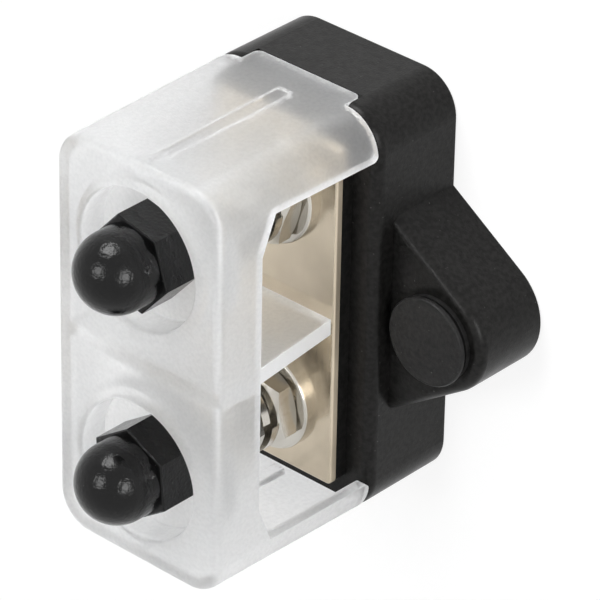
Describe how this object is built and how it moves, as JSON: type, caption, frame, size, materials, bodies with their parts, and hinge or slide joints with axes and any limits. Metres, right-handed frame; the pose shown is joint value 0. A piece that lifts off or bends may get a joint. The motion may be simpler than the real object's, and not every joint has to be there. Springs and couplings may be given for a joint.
{
  "type": "insulated dual stud power terminal",
  "caption": "Insulated power terminal: threaded studs joined by a metal bus plate on a moulded base with screw ears, under a frosted side-open cover held by domed cap nuts.",
  "frame": {"origin": "middle of the flat mounting face on the back of the base", "axes": "+Z out of the mounting face along the studs, +Y along the base's long side through both studs, +X across the base towards an ear"},
  "size_m": [0.0848, 0.0844, 0.0739],
  "materials": {
    "black_nylon": "fine matte texture",
    "plug_plastic": "fine matte texture",
    "cap_plastic": "satin",
    "frosted_plastic": "frosted, translucent",
    "nickel_plate": "satin nickel plating",
    "stainless": "satin",
    "brass": "turned"
  },
  "bodies": {
    "base": {"base": "black_nylon", "bus_plate": "nickel_plate", "stud_upper": "stainless", "stud_lower": "stainless", "flat_washer_upper": "stainless", "flat_washer_lower": "stainless", "clamp_nut_upper": "stainless", "clamp_nut_lower": "stainless", "lock_washer_upper": "stainless", "lock_washer_lower": "stainless"},
    "cover": {"cover": "frosted_plastic"},
    "cap_upper": {"cap_nut_upper": "cap_plastic", "cap_insert_upper": "brass"},
    "cap_lower": {"cap_nut_lower": "cap_plastic", "cap_insert_lower": "brass"},
    "lug_nut_upper": {"lug_nut_upper": "stainless"},
    "lug_nut_lower": {"lug_nut_lower": "stainless"},
    "plug_right": {"plug_cap_right": "plug_plastic"},
    "plug_left": {"plug_cap_left": "plug_plastic"}
  },
  "joints": [
    {"name": "cover_lift", "type": "slide", "parent": "base", "child": "cover", "axis": [0, 0, 1], "range_m": [0, 0.052]},
    {"name": "cap_upper_unscrew", "type": "slide", "parent": "cover", "child": "cap_upper", "axis": [0, 0, 1], "range_m": [0, 0.014]},
    {"name": "cap_lower_unscrew", "type": "slide", "parent": "cover", "child": "cap_lower", "axis": [0, 0, 1], "range_m": [0, 0.014]},
    {"name": "lug_nut_upper_unscrew", "type": "slide", "parent": "base", "child": "lug_nut_upper", "axis": [0, 0, 1], "range_m": [0, 0.008]},
    {"name": "lug_nut_lower_unscrew", "type": "slide", "parent": "base", "child": "lug_nut_lower", "axis": [0, 0, 1], "range_m": [0, 0.008]},
    {"name": "plug_right_pull", "type": "slide", "parent": "base", "child": "plug_right", "axis": [0, 0, 1], "range_m": [0, 0.012]},
    {"name": "plug_left_pull", "type": "slide", "parent": "base", "child": "plug_left", "axis": [0, 0, 1], "range_m": [0, 0.012]}
  ]
}
